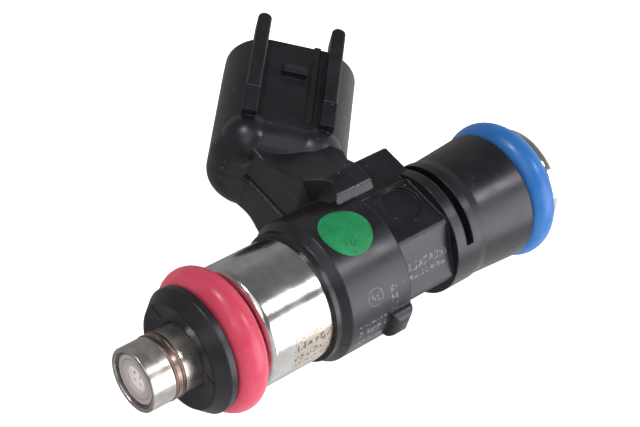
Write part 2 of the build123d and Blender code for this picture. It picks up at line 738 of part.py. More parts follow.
def paint_dot():
    """Round dab of marking paint on top of the barrel."""
    skin = tube(BODY_FRONT_X, BARREL_END_X, BARREL_RADIUS + PAINT_THICKNESS, BARREL_RADIUS)
    return skin & (Pos(PAINT_X, PAINT_Y, BARREL_RADIUS) * Cylinder(PAINT_RADIUS, BARREL_RADIUS))


PARTS = {
    "lower_o_ring": sealing_ring(0),
    "upper_o_ring": sealing_ring(UPPER_RING_X),
    "valve_sleeve": valve_sleeve(),
    "nozzle_weld_beads": nozzle_welds(),
    "valve_seat": valve_seat(),
    "spray_orifice_plate": orifice_plate(),
    "valve_ball": valve_ball(),
    "valve_needle": valve_needle(),
    "armature": armature(),
    "return_spring": return_spring(),
    "inner_pole": inner_pole(),
    "adjusting_sleeve": adjusting_sleeve(),
    "filter_frame": filter_frame(),
    "filter_mesh": filter_mesh(),
    "filter_ring": filter_ring(),
    "inlet_flange": inlet_flange(),
    "lower_support_cap": lower_support_cap(),
    "magnet_housing": magnet_housing(),
    "magnet_cover": magnet_cover(),
    "coil_bobbin": coil_bobbin(),
    "coil_winding": coil_winding(),
    "connector_blades": terminals(),
    "coil_leads": coil_leads(),
    "overmoulded_body": overmoulded_body(),
    "paint_dot": paint_dot(),
}

os.makedirs("parts", exist_ok=True)
for name, shape in PARTS.items():
    export_step(shape, f"parts/{name}.step")
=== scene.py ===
"""Looks of the fuel injector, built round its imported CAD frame.

Everything is in metres, in the row frame: the valve axis is X, the connector leans toward +Y and
the latch face of the connector looks up, along +Z.  Angles round the valve axis run from +Z
toward -Y.
"""

import logging
import math
from dataclasses import dataclass, field
from enum import Enum

import bmesh
import bpy
from mathutils import Matrix, Vector

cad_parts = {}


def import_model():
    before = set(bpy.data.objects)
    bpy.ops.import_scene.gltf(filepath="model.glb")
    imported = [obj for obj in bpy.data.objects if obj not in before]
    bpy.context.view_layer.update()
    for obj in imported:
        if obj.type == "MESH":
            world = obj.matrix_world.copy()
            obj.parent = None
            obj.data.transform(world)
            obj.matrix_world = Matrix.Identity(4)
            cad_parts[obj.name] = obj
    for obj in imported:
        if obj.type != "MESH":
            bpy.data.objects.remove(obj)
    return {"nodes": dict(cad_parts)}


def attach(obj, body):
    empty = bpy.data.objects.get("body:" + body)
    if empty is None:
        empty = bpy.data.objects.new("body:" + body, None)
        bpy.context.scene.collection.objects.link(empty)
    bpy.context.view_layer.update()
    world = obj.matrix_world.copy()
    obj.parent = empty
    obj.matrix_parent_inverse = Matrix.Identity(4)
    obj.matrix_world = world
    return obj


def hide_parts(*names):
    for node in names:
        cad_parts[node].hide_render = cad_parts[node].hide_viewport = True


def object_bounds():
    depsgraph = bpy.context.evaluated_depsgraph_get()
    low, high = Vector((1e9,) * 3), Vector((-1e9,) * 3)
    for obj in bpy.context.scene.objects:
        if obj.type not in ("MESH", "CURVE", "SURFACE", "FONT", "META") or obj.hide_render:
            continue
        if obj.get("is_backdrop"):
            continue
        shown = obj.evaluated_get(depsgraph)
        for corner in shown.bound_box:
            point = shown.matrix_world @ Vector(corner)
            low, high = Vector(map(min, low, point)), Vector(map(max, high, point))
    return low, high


logging.basicConfig(level=logging.INFO, format="%(name)s: %(message)s")
LOG = logging.getLogger("injector")

MM = 0.001
BODY = "injector_body"
# share of a noise texture's range that holds nearly all of its values
NOISE_LOW = 0.3
NOISE_HIGH = 0.7
PLASTIC_IOR = 1.5
WELD_DISTANCE = 1e-7

Socket = bpy.types.NodeSocket
Node = bpy.types.Node
Value = Socket | float


def linear(hex_colour: str) -> tuple[float, float, float, float]:
    """Turns an sRGB hex colour into linear RGBA.

    Args:
        hex_colour: Colour such as "3A74BE".

    Returns:
        Four linear channel values.
    """
    channels = []
    for start in (0, 2, 4):
        value = int(hex_colour[start : start + 2], 16) / 255
        channels.append(value / 12.92 if value <= 0.04045 else ((value + 0.055) / 1.055) ** 2.4)
    return (*channels, 1.0)


def per_metre(size_mm: float) -> float:
    """Scale of a pattern whose cells are size_mm across, on coordinates in metres.

    Args:
        size_mm: Real size of one cell.

    Returns:
        Cells per metre.
    """
    return 1000.0 / size_mm


class Lay(Enum):
    """Direction that fine lines run in, as a stretch of the pattern's coordinates."""

    ROUND_THE_AXIS = (1.0, 0.03, 0.03)
    ALONG_THE_AXIS = (0.03, 1.0, 1.0)
    NONE = (1.0, 1.0, 1.0)


# ---------------------------------------------------------------- node trees


@dataclass
class NodeTree:
    """Small writer for the nodes of one material, or of the world."""

    owner: bpy.types.Material | bpy.types.World
    tree: bpy.types.NodeTree = field(init=False)

    def __post_init__(self) -> None:
        """Starts an empty tree with its output and shared coordinates."""
        self.owner.use_nodes = True
        self.tree = self.owner.node_tree
        self.tree.nodes.clear()
        is_world = isinstance(self.owner, bpy.types.World)
        self.output = self.add("ShaderNodeOutputWorld" if is_world else "ShaderNodeOutputMaterial")
        coordinates = self.add("ShaderNodeTexCoord").outputs
        self.place = coordinates["Generated" if is_world else "Object"]

    def add(self, kind: str, inputs: dict | None = None, **settings) -> Node:
        """Adds a node with its settings and links.

        Args:
            kind: Blender's name of the node type.
            inputs: Socket name or number to a value, or to another node's output socket.
            **settings: Attributes of the node.

        Returns:
            The new node.
        """
        node = self.tree.nodes.new(kind)
        for name, value in settings.items():
            setattr(node, name, value)
        for name, value in (inputs or {}).items():
            if isinstance(value, Socket):
                self.tree.links.new(value, node.inputs[name])
            else:
                node.inputs[name].default_value = value
        return node

    def math(self, operation: str, first: Value, second: Value = 0.0) -> Socket:
        """One arithmetic step.

        Args:
            operation: Blender's name of the operation.
            first: First operand.
            second: Second operand.

        Returns:
            The result.
        """
        return self.add("ShaderNodeMath", {0: first, 1: second}, operation=operation).outputs[0]

    def product(self, *factors: Value) -> Socket:
        """Product of several values."""
        result = factors[0]
        for factor in factors[1:]:
            result = self.math("MULTIPLY", result, factor)
        return result

    def noise(self, size_mm: float, detail: float = 3.0, stretch: Lay = Lay.NONE) -> Socket:
        """Cloudy noise on object coordinates.

        Args:
            size_mm: Size of one cloud.
            detail: Octaves of finer noise.
            stretch: Direction the clouds are drawn out in.

        Returns:
            Factor socket.
        """
        place = self.place
        if stretch is not Lay.NONE:
            stretched = {"Vector": place, "Scale": stretch.value}
            place = self.add("ShaderNodeMapping", stretched).outputs[0]
        inputs = {"Vector": place, "Scale": per_metre(size_mm), "Detail": detail}
        return self.add("ShaderNodeTexNoise", inputs).outputs["Fac"]

    def band(self, value: Socket, low: float, high: float, soft: float) -> Socket:
        """One between low and high, zero outside, with soft ends.

        Args:
            value: The quantity tested.
            low: Start of the band.
            high: End of the band.
            soft: Width of each end's fade.

        Returns:
            Mask socket.
        """
        rise = self.rescale(value, low - soft, low + soft, 0.0, 1.0)
        fall = self.rescale(value, high - soft, high + soft, 1.0, 0.0)
        return self.math("MULTIPLY", rise, fall)

    def rescale(
        self, value: Socket, low: float, high: float, start: float, end: float,
        curve: str = "LINEAR",
    ) -> Socket:
        """Maps low..high onto start..end, held at the ends.

        Args:
            value: The quantity mapped.
            low: Input that gives start.
            high: Input that gives end.
            start: Output at low.
            end: Output at high.
            curve: Blender's name of the interpolation.

        Returns:
            Mapped socket.
        """
        inputs = {"Value": value, "From Min": low, "From Max": high, "To Min": start, "To Max": end}
        return self.add("ShaderNodeMapRange", inputs, interpolation_type=curve).outputs["Result"]

    def vary(self, noise: Socket, start: float, end: float) -> Socket:
        """Maps the useful range of a noise onto start..end.

        Args:
            noise: A noise factor.
            start: Result at the noise's low end.
            end: Result at its high end.

        Returns:
            Mapped socket.
        """
        return self.rescale(noise, NOISE_LOW, NOISE_HIGH, start, end)

    def patches(self, size_mm: float, low: float, high: float) -> Socket:
        """Irregular patches: a noise cut off softly between low and high."""
        return self.rescale(self.noise(size_mm), low, high, 0.0, 1.0)

    def coordinates(self) -> tuple[Socket, Socket, Socket]:
        """The three object coordinates, in metres."""
        parts = self.add("ShaderNodeSeparateXYZ", {0: self.place}).outputs
        return parts[0], parts[1], parts[2]

    def angle(self) -> Socket:
        """Angle round the valve axis in degrees, from +Z toward -Y."""
        _, y, z = self.coordinates()
        radians = self.math("ARCTAN2", self.math("MULTIPLY", y, -1.0), z)
        return self.math("MULTIPLY", radians, 180.0 / math.pi)

    def ramp(self, value: Socket, stops: list[tuple[float, str]]) -> Socket:
        """Colour ramp.

        Args:
            value: Factor socket.
            stops: Position and hex colour of each stop, in order.

        Returns:
            The ramp's colour socket.
        """
        node = self.add("ShaderNodeValToRGB", {"Fac": value})
        elements = node.color_ramp.elements
        while len(elements) < len(stops):
            elements.new(0.5)
        for element, (position, colour) in zip(elements, stops):
            element.position = position
            element.color = linear(colour)
        return node.outputs["Color"]

    def blend(self, factor: Socket, under: Socket | str, over: Socket | str) -> Socket:
        """Mixes two colours.

        Args:
            factor: Zero gives under, one gives over.
            under: Colour socket or hex colour.
            over: Colour socket or hex colour.

        Returns:
            Mixed colour socket.
        """
        colours = [linear(c) if isinstance(c, str) else c for c in (under, over)]
        node = self.add(
            "ShaderNodeMix", {0: factor, 6: colours[0], 7: colours[1]}, data_type="RGBA"
        )
        return node.outputs[2]

    def specks(self, spacing_mm: float, size: float) -> Socket:
        """Scattered round specks.

        Args:
            spacing_mm: Mean distance between them.
            size: Radius as a share of the spacing.

        Returns:
            Mask socket, one inside a speck.
        """
        inputs = {"Vector": self.place, "Scale": per_metre(spacing_mm)}
        distance = self.add("ShaderNodeTexVoronoi", inputs).outputs["Distance"]
        return self.rescale(distance, size * 0.7, size, 1.0, 0.0)

    def relief(self, height: Socket, depth_mm: float, rounding_mm: float = 0.0) -> Socket:
        """Bumped normal, on edges rounded by rounding_mm.

        Args:
            height: Height field from zero to one.
            depth_mm: Real height of one unit.
            rounding_mm: Radius that softens the piece's sharp edges.

        Returns:
            Normal socket.
        """
        inputs = {"Height": height, "Distance": depth_mm * MM, "Strength": 1.0}
        if rounding_mm:
            bevel = self.add("ShaderNodeBevel", {"Radius": rounding_mm * MM}, samples=6)
            inputs["Normal"] = bevel.outputs["Normal"]
        return self.add("ShaderNodeBump", inputs).outputs["Normal"]

    def close(self, **inputs) -> bpy.types.Material:
        """Ends the tree with a principled shader.

        Args:
            **inputs: Socket names, with underscores for spaces, to values or sockets.

        Returns:
            The finished material.
        """
        named = {name.replace("_", " "): value for name, value in inputs.items()}
        shader = self.add("ShaderNodeBsdfPrincipled", named)
        self.tree.links.new(shader.outputs[0], self.output.inputs["Surface"])
        return self.owner


@dataclass(frozen=True)
class MarkField:
    """Rows of plain ticks burnt into a round surface by a laser marker."""

    start_x: float
    end_x: float
    start_angle: float
    end_angle: float
    radius: float
    row_pitch: float
    cell: float = 0.22
    density: float = 0.55
    cells_per_mark: int = 4
    mark_share: float = 0.76
    row_share: float = 0.72
    edge: float = 0.02
    edge_angle: float = 0.2

    def mask(self, tree: NodeTree) -> Socket:
        """Mask that is one on the ticks.

        Args:
            tree: The material's node writer.

        Returns:
            Mask socket.
        """
        x, _, _ = tree.coordinates()
        along = tree.math("DIVIDE", x, self.cell * MM)
        degrees_per_cell = math.degrees(self.cell / self.radius)
        around = tree.math("DIVIDE", tree.angle(), degrees_per_cell)
        corner = {0: tree.math("FLOOR", along), 1: tree.math("FLOOR", around), 2: 0.0}
        cell = tree.add("ShaderNodeCombineXYZ", corner).outputs[0]
        chance = tree.add("ShaderNodeTexWhiteNoise", {"Vector": cell}, noise_dimensions="2D")
        ticks = tree.math("LESS_THAN", chance.outputs[0], self.density)
        degrees_per_row = math.degrees(self.row_pitch / self.radius)
        row = tree.math("FRACT", tree.math("DIVIDE", tree.angle(), degrees_per_row))
        column = tree.math("FRACT", tree.math("DIVIDE", x, self.cells_per_mark * self.cell * MM))
        return tree.product(
            ticks,
            tree.math("LESS_THAN", row, self.row_share),
            tree.math("LESS_THAN", column, self.mark_share),
            tree.band(x, self.start_x * MM, self.end_x * MM, self.edge * MM),
            tree.band(tree.angle(), self.start_angle, self.end_angle, self.edge_angle),
        )


@dataclass(frozen=True)
class StampRing:
    """Plain outlined circle burnt into a round surface."""

    centre_x: float
    centre_angle: float
    surface_radius: float
    radius: float = 0.95
    line: float = 0.09

    def mask(self, tree: NodeTree) -> Socket:
        """Mask that is one on the circle's line.

        Args:
            tree: The material's node writer.

        Returns:
            Mask socket.
        """
        x, _, _ = tree.coordinates()
        along = tree.math("SUBTRACT", x, self.centre_x * MM)
        turn = tree.math("SUBTRACT", tree.angle(), self.centre_angle)
        around = tree.math("MULTIPLY", turn, math.radians(self.surface_radius) * MM)
        square = tree.math("ADD", tree.product(along, along), tree.product(around, around))
        distance = tree.math("SQRT", square)
        inner, outer = (self.radius - self.line) * MM, self.radius * MM
        return tree.band(distance, inner, outer, self.line / 4 * MM)


# ---------------------------------------------------------------- finishes


@dataclass(frozen=True)
class Finish:
    """A finish made once and shared; subclasses write their own nodes."""

    name: str

    def material(self) -> bpy.types.Material:
        """The finish's material."""
        found = bpy.data.materials.get(self.name)
        return found if found else self.nodes(NodeTree(bpy.data.materials.new(self.name)))

    def nodes(self, tree: NodeTree) -> bpy.types.Material:
        """Writes the nodes of the finish."""
        raise NotImplementedError


@dataclass(frozen=True)
class MouldedPlastic(Finish):
    """Moulded plastic: the eye reads a dark satin skin, broken gloss and soft moulded edges."""

    dark: str
    light: str
    roughness: float
    grain_mm: float = 0.15
    grain_height_mm: float = 0.004
    mottle_mm: float = 3.0
    rounding_mm: float = 0.15
    sheen_tint: str = "F6F3FA"
    gloss_drop: float = 0.05
    gloss_rise: float = 0.06

    def skin(self, tree: NodeTree, mottle: Socket) -> Socket:
        """Base colour, drifting between the two tones."""
        return tree.ramp(mottle, [(0.35, self.dark), (NOISE_HIGH, self.light)])

    def gloss(self, tree: NodeTree, mottle: Socket) -> Socket:
        """Roughness, drifting with the colour."""
        return tree.vary(mottle, self.roughness - self.gloss_drop, self.roughness + self.gloss_rise)

    def nodes(self, tree: NodeTree) -> bpy.types.Material:
        """Mottled base with a broken gloss and a fine grain."""
        mottle = tree.noise(self.mottle_mm, 4.0)
        return tree.close(
            Base_Color=self.skin(tree, mottle),
            Roughness=self.gloss(tree, mottle),
            IOR=PLASTIC_IOR,
            Specular_Tint=linear(self.sheen_tint),
            Normal=tree.relief(tree.noise(self.grain_mm), self.grain_height_mm, self.rounding_mm),
        )


@dataclass(frozen=True)
class MarkedNylon(MouldedPlastic):
    """Glass-filled nylon body: adds laser ticks, the mould seam, dust specks and rubbed spots."""

    gloss_drop: float = 0.06
    mark: str = "6A6970"
    dust: str = "8E8D92"
    seam: str = "030304"
    seam_half_width: float = 0.07
    seam_depth: float = 6.0
    scratch_gloss: float = 0.08
    speck_spacing: float = 0.9
    speck_size: float = 0.09
    fields: tuple[MarkField | StampRing, ...] = ()

    def nodes(self, tree: NodeTree) -> bpy.types.Material:
        """Satin black with faint grey ticks, a dark seam at Z = 0 and a few pale specks."""
        mottle = tree.noise(self.mottle_mm, 4.0)
        colour = self.skin(tree, mottle)
        wear = tree.rescale(tree.noise(0.9, 2.0), 0.35, 0.6, 0.35, 1.0)
        for marks in self.fields:
            colour = tree.blend(tree.product(marks.mask(tree), wear), colour, self.mark)
        rare = tree.rescale(tree.noise(2.4), 0.52, 0.6, 0.0, 0.8)
        specks = tree.product(tree.specks(self.speck_spacing, self.speck_size), rare)
        colour = tree.blend(specks, colour, self.dust)
        _, _, z = tree.coordinates()
        half = self.seam_half_width * MM
        seam = tree.band(z, -half, half, half / 2)
        sunk = tree.math("MULTIPLY", seam, self.seam_depth)
        height = tree.math("SUBTRACT", tree.noise(self.grain_mm), sunk)
        rubbed = tree.noise(0.5, 5.0, Lay.ALONG_THE_AXIS)
        scratches = tree.rescale(rubbed, 0.62, NOISE_HIGH, 0.0, -self.scratch_gloss)
        return tree.close(
            Base_Color=tree.blend(seam, colour, self.seam),
            Roughness=tree.math("ADD", self.gloss(tree, mottle), scratches),
            IOR=PLASTIC_IOR,
            Specular_Tint=linear(self.sheen_tint),
            Normal=tree.relief(height, self.grain_height_mm, self.rounding_mm),
        )


@dataclass(frozen=True)
class Elastomer(Finish):
    """Fluoro-rubber ring: dull and slightly waxy, with a mould flash round its outside."""

    colour: str
    bloom: str
    roughness: float
    middle_x: float
    flash_half_width: float = 0.03
    flash_height: float = 1.5
    relief_mm: float = 0.0015

    def nodes(self, tree: NodeTree) -> bpy.types.Material:
        """Even colour with a faint bloom, soft sheen, fine pits and the flash line."""
        x, _, _ = tree.coordinates()
        middle, half = self.middle_x * MM, self.flash_half_width * MM
        flash = tree.band(x, middle - half, middle + half, half * 2 / 3)
        raised = tree.math("MULTIPLY", flash, self.flash_height)
        return tree.close(
            Base_Color=tree.ramp(tree.noise(2.6, 5.0), [(0.35, self.colour), (0.75, self.bloom)]),
            Roughness=tree.vary(tree.noise(1.1), self.roughness - 0.05, self.roughness + 0.08),
            IOR=1.42,
            Normal=tree.relief(tree.math("ADD", tree.noise(0.12, 2.0), raised), self.relief_mm),
        )


@dataclass(frozen=True)
class Metal(Finish):
    """Worked metal: bright, with fine tool lines and an uneven polish."""

    colour: str
    shade: str
    roughness: float
    lay: Lay = Lay.ROUND_THE_AXIS
    line_mm: float = 0.09
    line_height_mm: float = 0.0006
    rounding_mm: float = 0.05
    cloud_mm: float = 1.8

    def clouds(self, tree: NodeTree) -> Socket:
        """Slow drift that colour and polish share."""
        return tree.noise(self.cloud_mm, 5.0)

    def tone(self, tree: NodeTree, cloud: Socket) -> Socket:
        """Metal colour, drifting between its two tones."""
        return tree.ramp(cloud, [(NOISE_LOW, self.shade), (0.62, self.colour)])

    def polish(self, tree: NodeTree, cloud: Socket) -> Socket:
        """Roughness, drifting with the colour."""
        return tree.vary(cloud, self.roughness * 0.8, self.roughness * 1.35)

    def tool_lines(self, tree: NodeTree) -> Socket:
        """Fine lines along the lay of the work."""
        return tree.noise(self.line_mm, 3.0, self.lay)

    def nodes(self, tree: NodeTree) -> bpy.types.Material:
        """Metal whose lines follow the lay of the work."""
        cloud = self.clouds(tree)
        return tree.close(
            Base_Color=self.tone(tree, cloud),
            Metallic=1.0,
            Roughness=self.polish(tree, cloud),
            Normal=tree.relief(self.tool_lines(tree), self.line_height_mm, self.rounding_mm),
        )


@dataclass(frozen=True)
class BrightNickel(Metal):
    """Nickel-plated shell: a mirror with small pits and one straw-coloured laser-marked patch."""

    straw: str = "C9B59C"
    burn: str = "6B4A30"
    pit: str = "4A4642"
    pit_spacing: float = 0.7
    pit_size: float = 0.1
    tint_end_x: float = 10.4
    tint_edge: float = 0.5
    tint_edge_angle: float = 6.0
    patch: MarkField = MarkField(4.9, 9.9, 61.0, 94.0, 6.35, 1.25, 0.2, 0.4)

    def nodes(self, tree: NodeTree) -> bpy.types.Material:
        """Mirror metal, dulled by pits and tinted where the laser marked it."""
        x, _, _ = tree.coordinates()
        cloud = self.clouds(tree)
        all_pits = tree.specks(self.pit_spacing, self.pit_size)
        pits = tree.product(all_pits, tree.patches(2.0, 0.5, 0.62))
        patch, fade = self.patch, self.tint_edge_angle
        tint = tree.product(
            tree.band(x, patch.start_x * MM, self.tint_end_x * MM, self.tint_edge * MM),
            tree.band(tree.angle(), patch.start_angle - fade / 2, patch.end_angle + fade, fade),
            tree.rescale(tree.noise(0.8, 4.0), NOISE_LOW, 0.65, 0.1, 0.7),
        )
        colour = tree.blend(tint, self.tone(tree, cloud), self.straw)
        colour = tree.blend(tree.math("MULTIPLY", patch.mask(tree), 0.75), colour, self.burn)
        dull = tree.math("ADD", tree.math("MULTIPLY", tint, 0.18), tree.math("MULTIPLY", pits, 0.3))
        height = tree.math("SUBTRACT", self.tool_lines(tree), tree.math("MULTIPLY", pits, 4.0))
        return tree.close(
            Base_Color=tree.blend(pits, colour, self.pit),
            Metallic=1.0,
            Roughness=tree.math("ADD", self.polish(tree, cloud), dull),
            Normal=tree.relief(height, self.line_height_mm, self.rounding_mm),
        )


@dataclass(frozen=True)
class WeldedStainless(Metal):
    """Drawn stainless tube whose nozzle end carries the heat colours of the seat welds."""

    cloud_mm: float = 1.4
    metallic: float = 1.0
    weld_x: float = -5.95
    weld_core: float = 0.1
    weld_half_width: float = 0.75
    straw: str = "C8B7A0"
    brown: str = "9A7F70"
    violet: str = "6C5650"

    def nodes(self, tree: NodeTree) -> bpy.types.Material:
        """Satin steel that turns straw and then violet-brown toward the weld."""
        x, _, _ = tree.coordinates()
        cloud = self.clouds(tree)
        away = tree.math("ABSOLUTE", tree.math("SUBTRACT", x, self.weld_x * MM))
        near = tree.rescale(away, self.weld_core * MM, self.weld_half_width * MM, 1.0, 0.0)
        reach = tree.math("MULTIPLY", near, tree.vary(tree.noise(1.2), 0.7, 1.3))
        stops = [(0.0, self.colour), (0.45, self.straw), (0.75, self.brown), (1.0, self.violet)]
        cover = tree.rescale(reach, 0.0, 0.4, 0.0, 0.85)
        return tree.close(
            Base_Color=tree.blend(cover, self.tone(tree, cloud), tree.ramp(reach, stops)),
            Metallic=self.metallic,
            Roughness=self.polish(tree, cloud),
            Normal=tree.relief(self.tool_lines(tree), self.line_height_mm, self.rounding_mm),
        )


@dataclass(frozen=True)
class BlastedSteel(Finish):
    """Spray plate: etched sheet that looks chalky beside the polished rim."""

    colour: str
    ring: str
    groove: str
    groove_radius: float = 2.04
    groove_half_width: float = 0.03
    disc_radius: float = 1.35
    disc_edge: float = 0.1
    rounding_mm: float = 0.03

    def nodes(self, tree: NodeTree) -> bpy.types.Material:
        """Dull warm grey metal with a slightly darker outer ring."""
        _, y, z = tree.coordinates()
        radius = tree.math("SQRT", tree.math("ADD", tree.product(y, y), tree.product(z, z)))
        edge = self.disc_radius * MM
        outer = tree.rescale(radius, edge, edge + self.disc_edge * MM, 0.0, 1.0)
        middle, half = self.groove_radius * MM, self.groove_half_width * MM
        groove = tree.band(radius, middle - half, middle + half, half * 2 / 3)
        return tree.close(
            Base_Color=tree.blend(groove, tree.blend(outer, self.colour, self.ring), self.groove),
            Metallic=0.35,
            Roughness=tree.vary(tree.noise(0.2), 0.5, 0.65),
            Normal=tree.relief(tree.noise(0.05, 2.0), 0.002, self.rounding_mm),
        )


@dataclass(frozen=True)
class MarkingPaint(Finish):
    """Dab of marking paint: saturated, with brush streaks and a few bare pinholes."""

    colour: str
    thin: str
    bare: str = "0C2E1C"
    pinhole_spacing: float = 0.42
    pinhole_size: float = 0.16
    pinhole_depth: float = 2.0
    thickness_mm: float = 0.07

    def nodes(self, tree: NodeTree) -> bpy.types.Material:
        """Streaked satin paint, thinner in places."""
        streaks = tree.noise(0.35, 4.0, Lay.ROUND_THE_AXIS)
        grain = tree.noise(0.25, 5.0)
        pinholes = tree.specks(self.pinhole_spacing, self.pinhole_size)
        holes = tree.product(pinholes, tree.patches(1.0, 0.4, 0.55))
        colour = tree.ramp(tree.noise(1.5, 4.0), [(0.35, self.colour), (0.75, self.thin)])
        brushed = tree.math("ADD", streaks, grain)
        height = tree.math("ADD", brushed, tree.math("MULTIPLY", holes, -self.pinhole_depth))
        return tree.close(
            Base_Color=tree.blend(holes, colour, self.bare),
            Roughness=tree.vary(grain, 0.35, 0.55),
            IOR=1.45,
            Normal=tree.relief(height, self.thickness_mm),
        )


BODY_MARKS = (
    # an outlined round stamp, ticks inside it and beside it, and the rows under it, on the barrel
    StampRing(14.3, 57.0, 7.4),
    MarkField(11.8, 15.6, 76.0, 99.0, 7.4, 1.5, 0.2, 0.5),
    MarkField(13.8, 14.8, 53.5, 60.5, 7.4, 1.7, 0.2, 0.45),
    MarkField(16.2, 17.0, 54.0, 76.0, 7.4, 1.0, 0.2, 0.6),
    # two rows on the flat of the hexagonal neck
    MarkField(20.2, 25.4, 50.0, 72.0, 5.6, 1.3, 0.18, 0.5),
)

# black nylon: satin skin that goes pale only where a lamp glances off it
BLACK_NYLON = MarkedNylon(
    "glass_filled_nylon", "141317", "1D1B20", 0.34, rounding_mm=0.25, fields=BODY_MARKS
)
# cap nylon: a shade duller and smoother, so the cap separates from the body
CAP_NYLON = MouldedPlastic(
    "unfilled_nylon_cap", "121114", "1B1A1D", 0.36, 0.12, 0.003, rounding_mm=0.2
)
# rose rubber: waxy ring, the strongest colour of the object
PINK_RUBBER = Elastomer("rose_fluoro_rubber", "C63E56", "CF4D65", 0.28, 0.0)
# blue rubber: the same compound dyed blue
BLUE_RUBBER = Elastomer("blue_fluoro_rubber", "2567AF", "3374BA", 0.32, 38.4)
# stainless: satin tube with heat colours near the nozzle
STAINLESS = WeldedStainless("drawn_stainless", "BDB8B4", "A6A19D", 0.26, metallic=0.9)
# plain stainless: inner hydraulic pieces
INNER_STEEL = Metal("turned_stainless", "C6C1BC", "A8A29C", 0.25)
# spring wire: bright, without a lay that the eye could follow
SPRING_STEEL = Metal("spring_wire", "A9A7A4", "8B8986", 0.22, Lay.NONE)
# nickel: mirror shell
NICKEL = BrightNickel("bright_nickel", "D9D7D5", "C1BFBD", 0.15)
# polished inlet collar: mirror without marks
POLISHED = Metal("polished_steel", "D8D4CF", "C2BDB7", 0.12)
# etched spray plate: chalky disc inside the polished rim
SPRAY_PLATE = BlastedSteel("etched_spray_plate", "E2D9D8", "AFA4A5", "4A4344")
# weld bead: rough oxidised metal
WELD = Metal("weld_bead_steel", "8F7E74", "5E4D46", 0.38, Lay.NONE, 0.2, 0.01)
# green paint: brushed dab on the barrel
GREEN_PAINT = MarkingPaint("green_marking_paint", "0F7A48", "1C8F58")
# brass: warm turned sleeves
BRASS = Metal("turned_brass", "CFA85C", "B08A45", 0.25)
# copper winding: amber enamel over copper
COPPER = Metal("enamelled_copper", "A8552A", "8A4322", 0.3, Lay.ROUND_THE_AXIS, 0.25, 0.02)
# tinned blades: pale and slightly dull
TIN = Metal("tin_plate", "C9C9C6", "ABABA8", 0.3, Lay.NONE)
# natural plastic: ivory filter cage
NATURAL_PLASTIC = MouldedPlastic("natural_acetal", "BDB8A8", "D5D0C0", 0.45, 0.2, 0.004)
# gauze: pale woven basket read as a fine grain
GAUZE = MouldedPlastic("woven_gauze", "B5B3A8", "D0CEC4", 0.6, 0.12, 0.03)


# ---------------------------------------------------------------- pieces


def new_piece(name: str, mesh: bmesh.types.BMesh, finish: Finish, body: str) -> bpy.types.Object:
    """Turns a bmesh into an object that rides with a body of the frame.

    Args:
        name: Name of the piece.
        mesh: Its shape; freed here.
        finish: Its finish.
        body: The frame body it rides with.

    Returns:
        The new object.
    """
    bmesh.ops.recalc_face_normals(mesh, faces=mesh.faces)
    for face in mesh.faces:
        face.smooth = True
    data = bpy.data.meshes.new(name)
    mesh.to_mesh(data)
    mesh.free()
    piece = bpy.data.objects.new(name, data)
    bpy.context.scene.collection.objects.link(piece)
    data.materials.append(finish.material())
    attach(piece, body)
    LOG.info("%s built, %d faces", name, len(data.polygons))
    return piece


def turned_ring(profile: list[tuple[float, float]], steps: int) -> bmesh.types.BMesh:
    """Spins a closed profile round the valve axis.

    Args:
        profile: Corner points as (x, radius) in millimetres.
        steps: Number of steps round the axis.

    Returns:
        The ring as a bmesh.
    """
    mesh = bmesh.new()
    verts = [mesh.verts.new((x * MM, 0.0, radius * MM)) for x, radius in profile]
    edges = [mesh.edges.new((verts[i - 1], vert)) for i, vert in enumerate(verts)]
    bmesh.ops.spin(
        mesh,
        geom=verts + edges,
        cent=(0.0, 0.0, 0.0),
        axis=(1.0, 0.0, 0.0),
        angle=math.tau,
        steps=steps,
        use_merge=True,
    )
    bmesh.ops.remove_doubles(mesh, verts=mesh.verts, dist=WELD_DISTANCE)
    return mesh


@dataclass(frozen=True)
class WeldBeads:
    """The two rippled weld beads round the nozzle."""

    radius: float = 3.25
    places: tuple[float, float] = (-6.35, -5.55)
    half_width: float = 0.2
    height: float = 0.065
    ripples: int = 90
    ripple_height: float = 0.008
    root_depth: float = 0.02
    steps: int = 360
    arc_points: int = 8

    def profile(self, x: float) -> list[tuple[float, float]]:
        """Flat-bottomed hump at station x."""
        points = [(x - self.half_width, self.radius - self.root_depth)]
        for index in range(self.arc_points + 1):
            turn = math.pi * index / self.arc_points
            points.append(
                (x - self.half_width * math.cos(turn), self.radius + self.height * math.sin(turn))
            )
        points.append((x + self.half_width, self.radius - self.root_depth))
        return points

    def build(self) -> list[bpy.types.Object]:
        """Builds both beads in place of the plain ones.

        Returns:
            The new objects.
        """
        pieces = []
        for number, x in enumerate(self.places, start=1):
            mesh = turned_ring(self.profile(x), self.steps)
            for vert in mesh.verts:
                across = Vector((0.0, vert.co.y, vert.co.z))
                lift = across.length / MM - self.radius
                if lift > 0:
                    wave = math.sin(self.ripples * math.atan2(vert.co.y, vert.co.z))
                    across *= 1 + self.ripple_height * wave / self.radius
                    vert.co = Vector((vert.co.x, across.y, across.z))
            piece = new_piece(f"weld_bead_{number}", mesh, WELD, BODY)
            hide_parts("nozzle_weld_beads")
            pieces.append(piece)
        return pieces


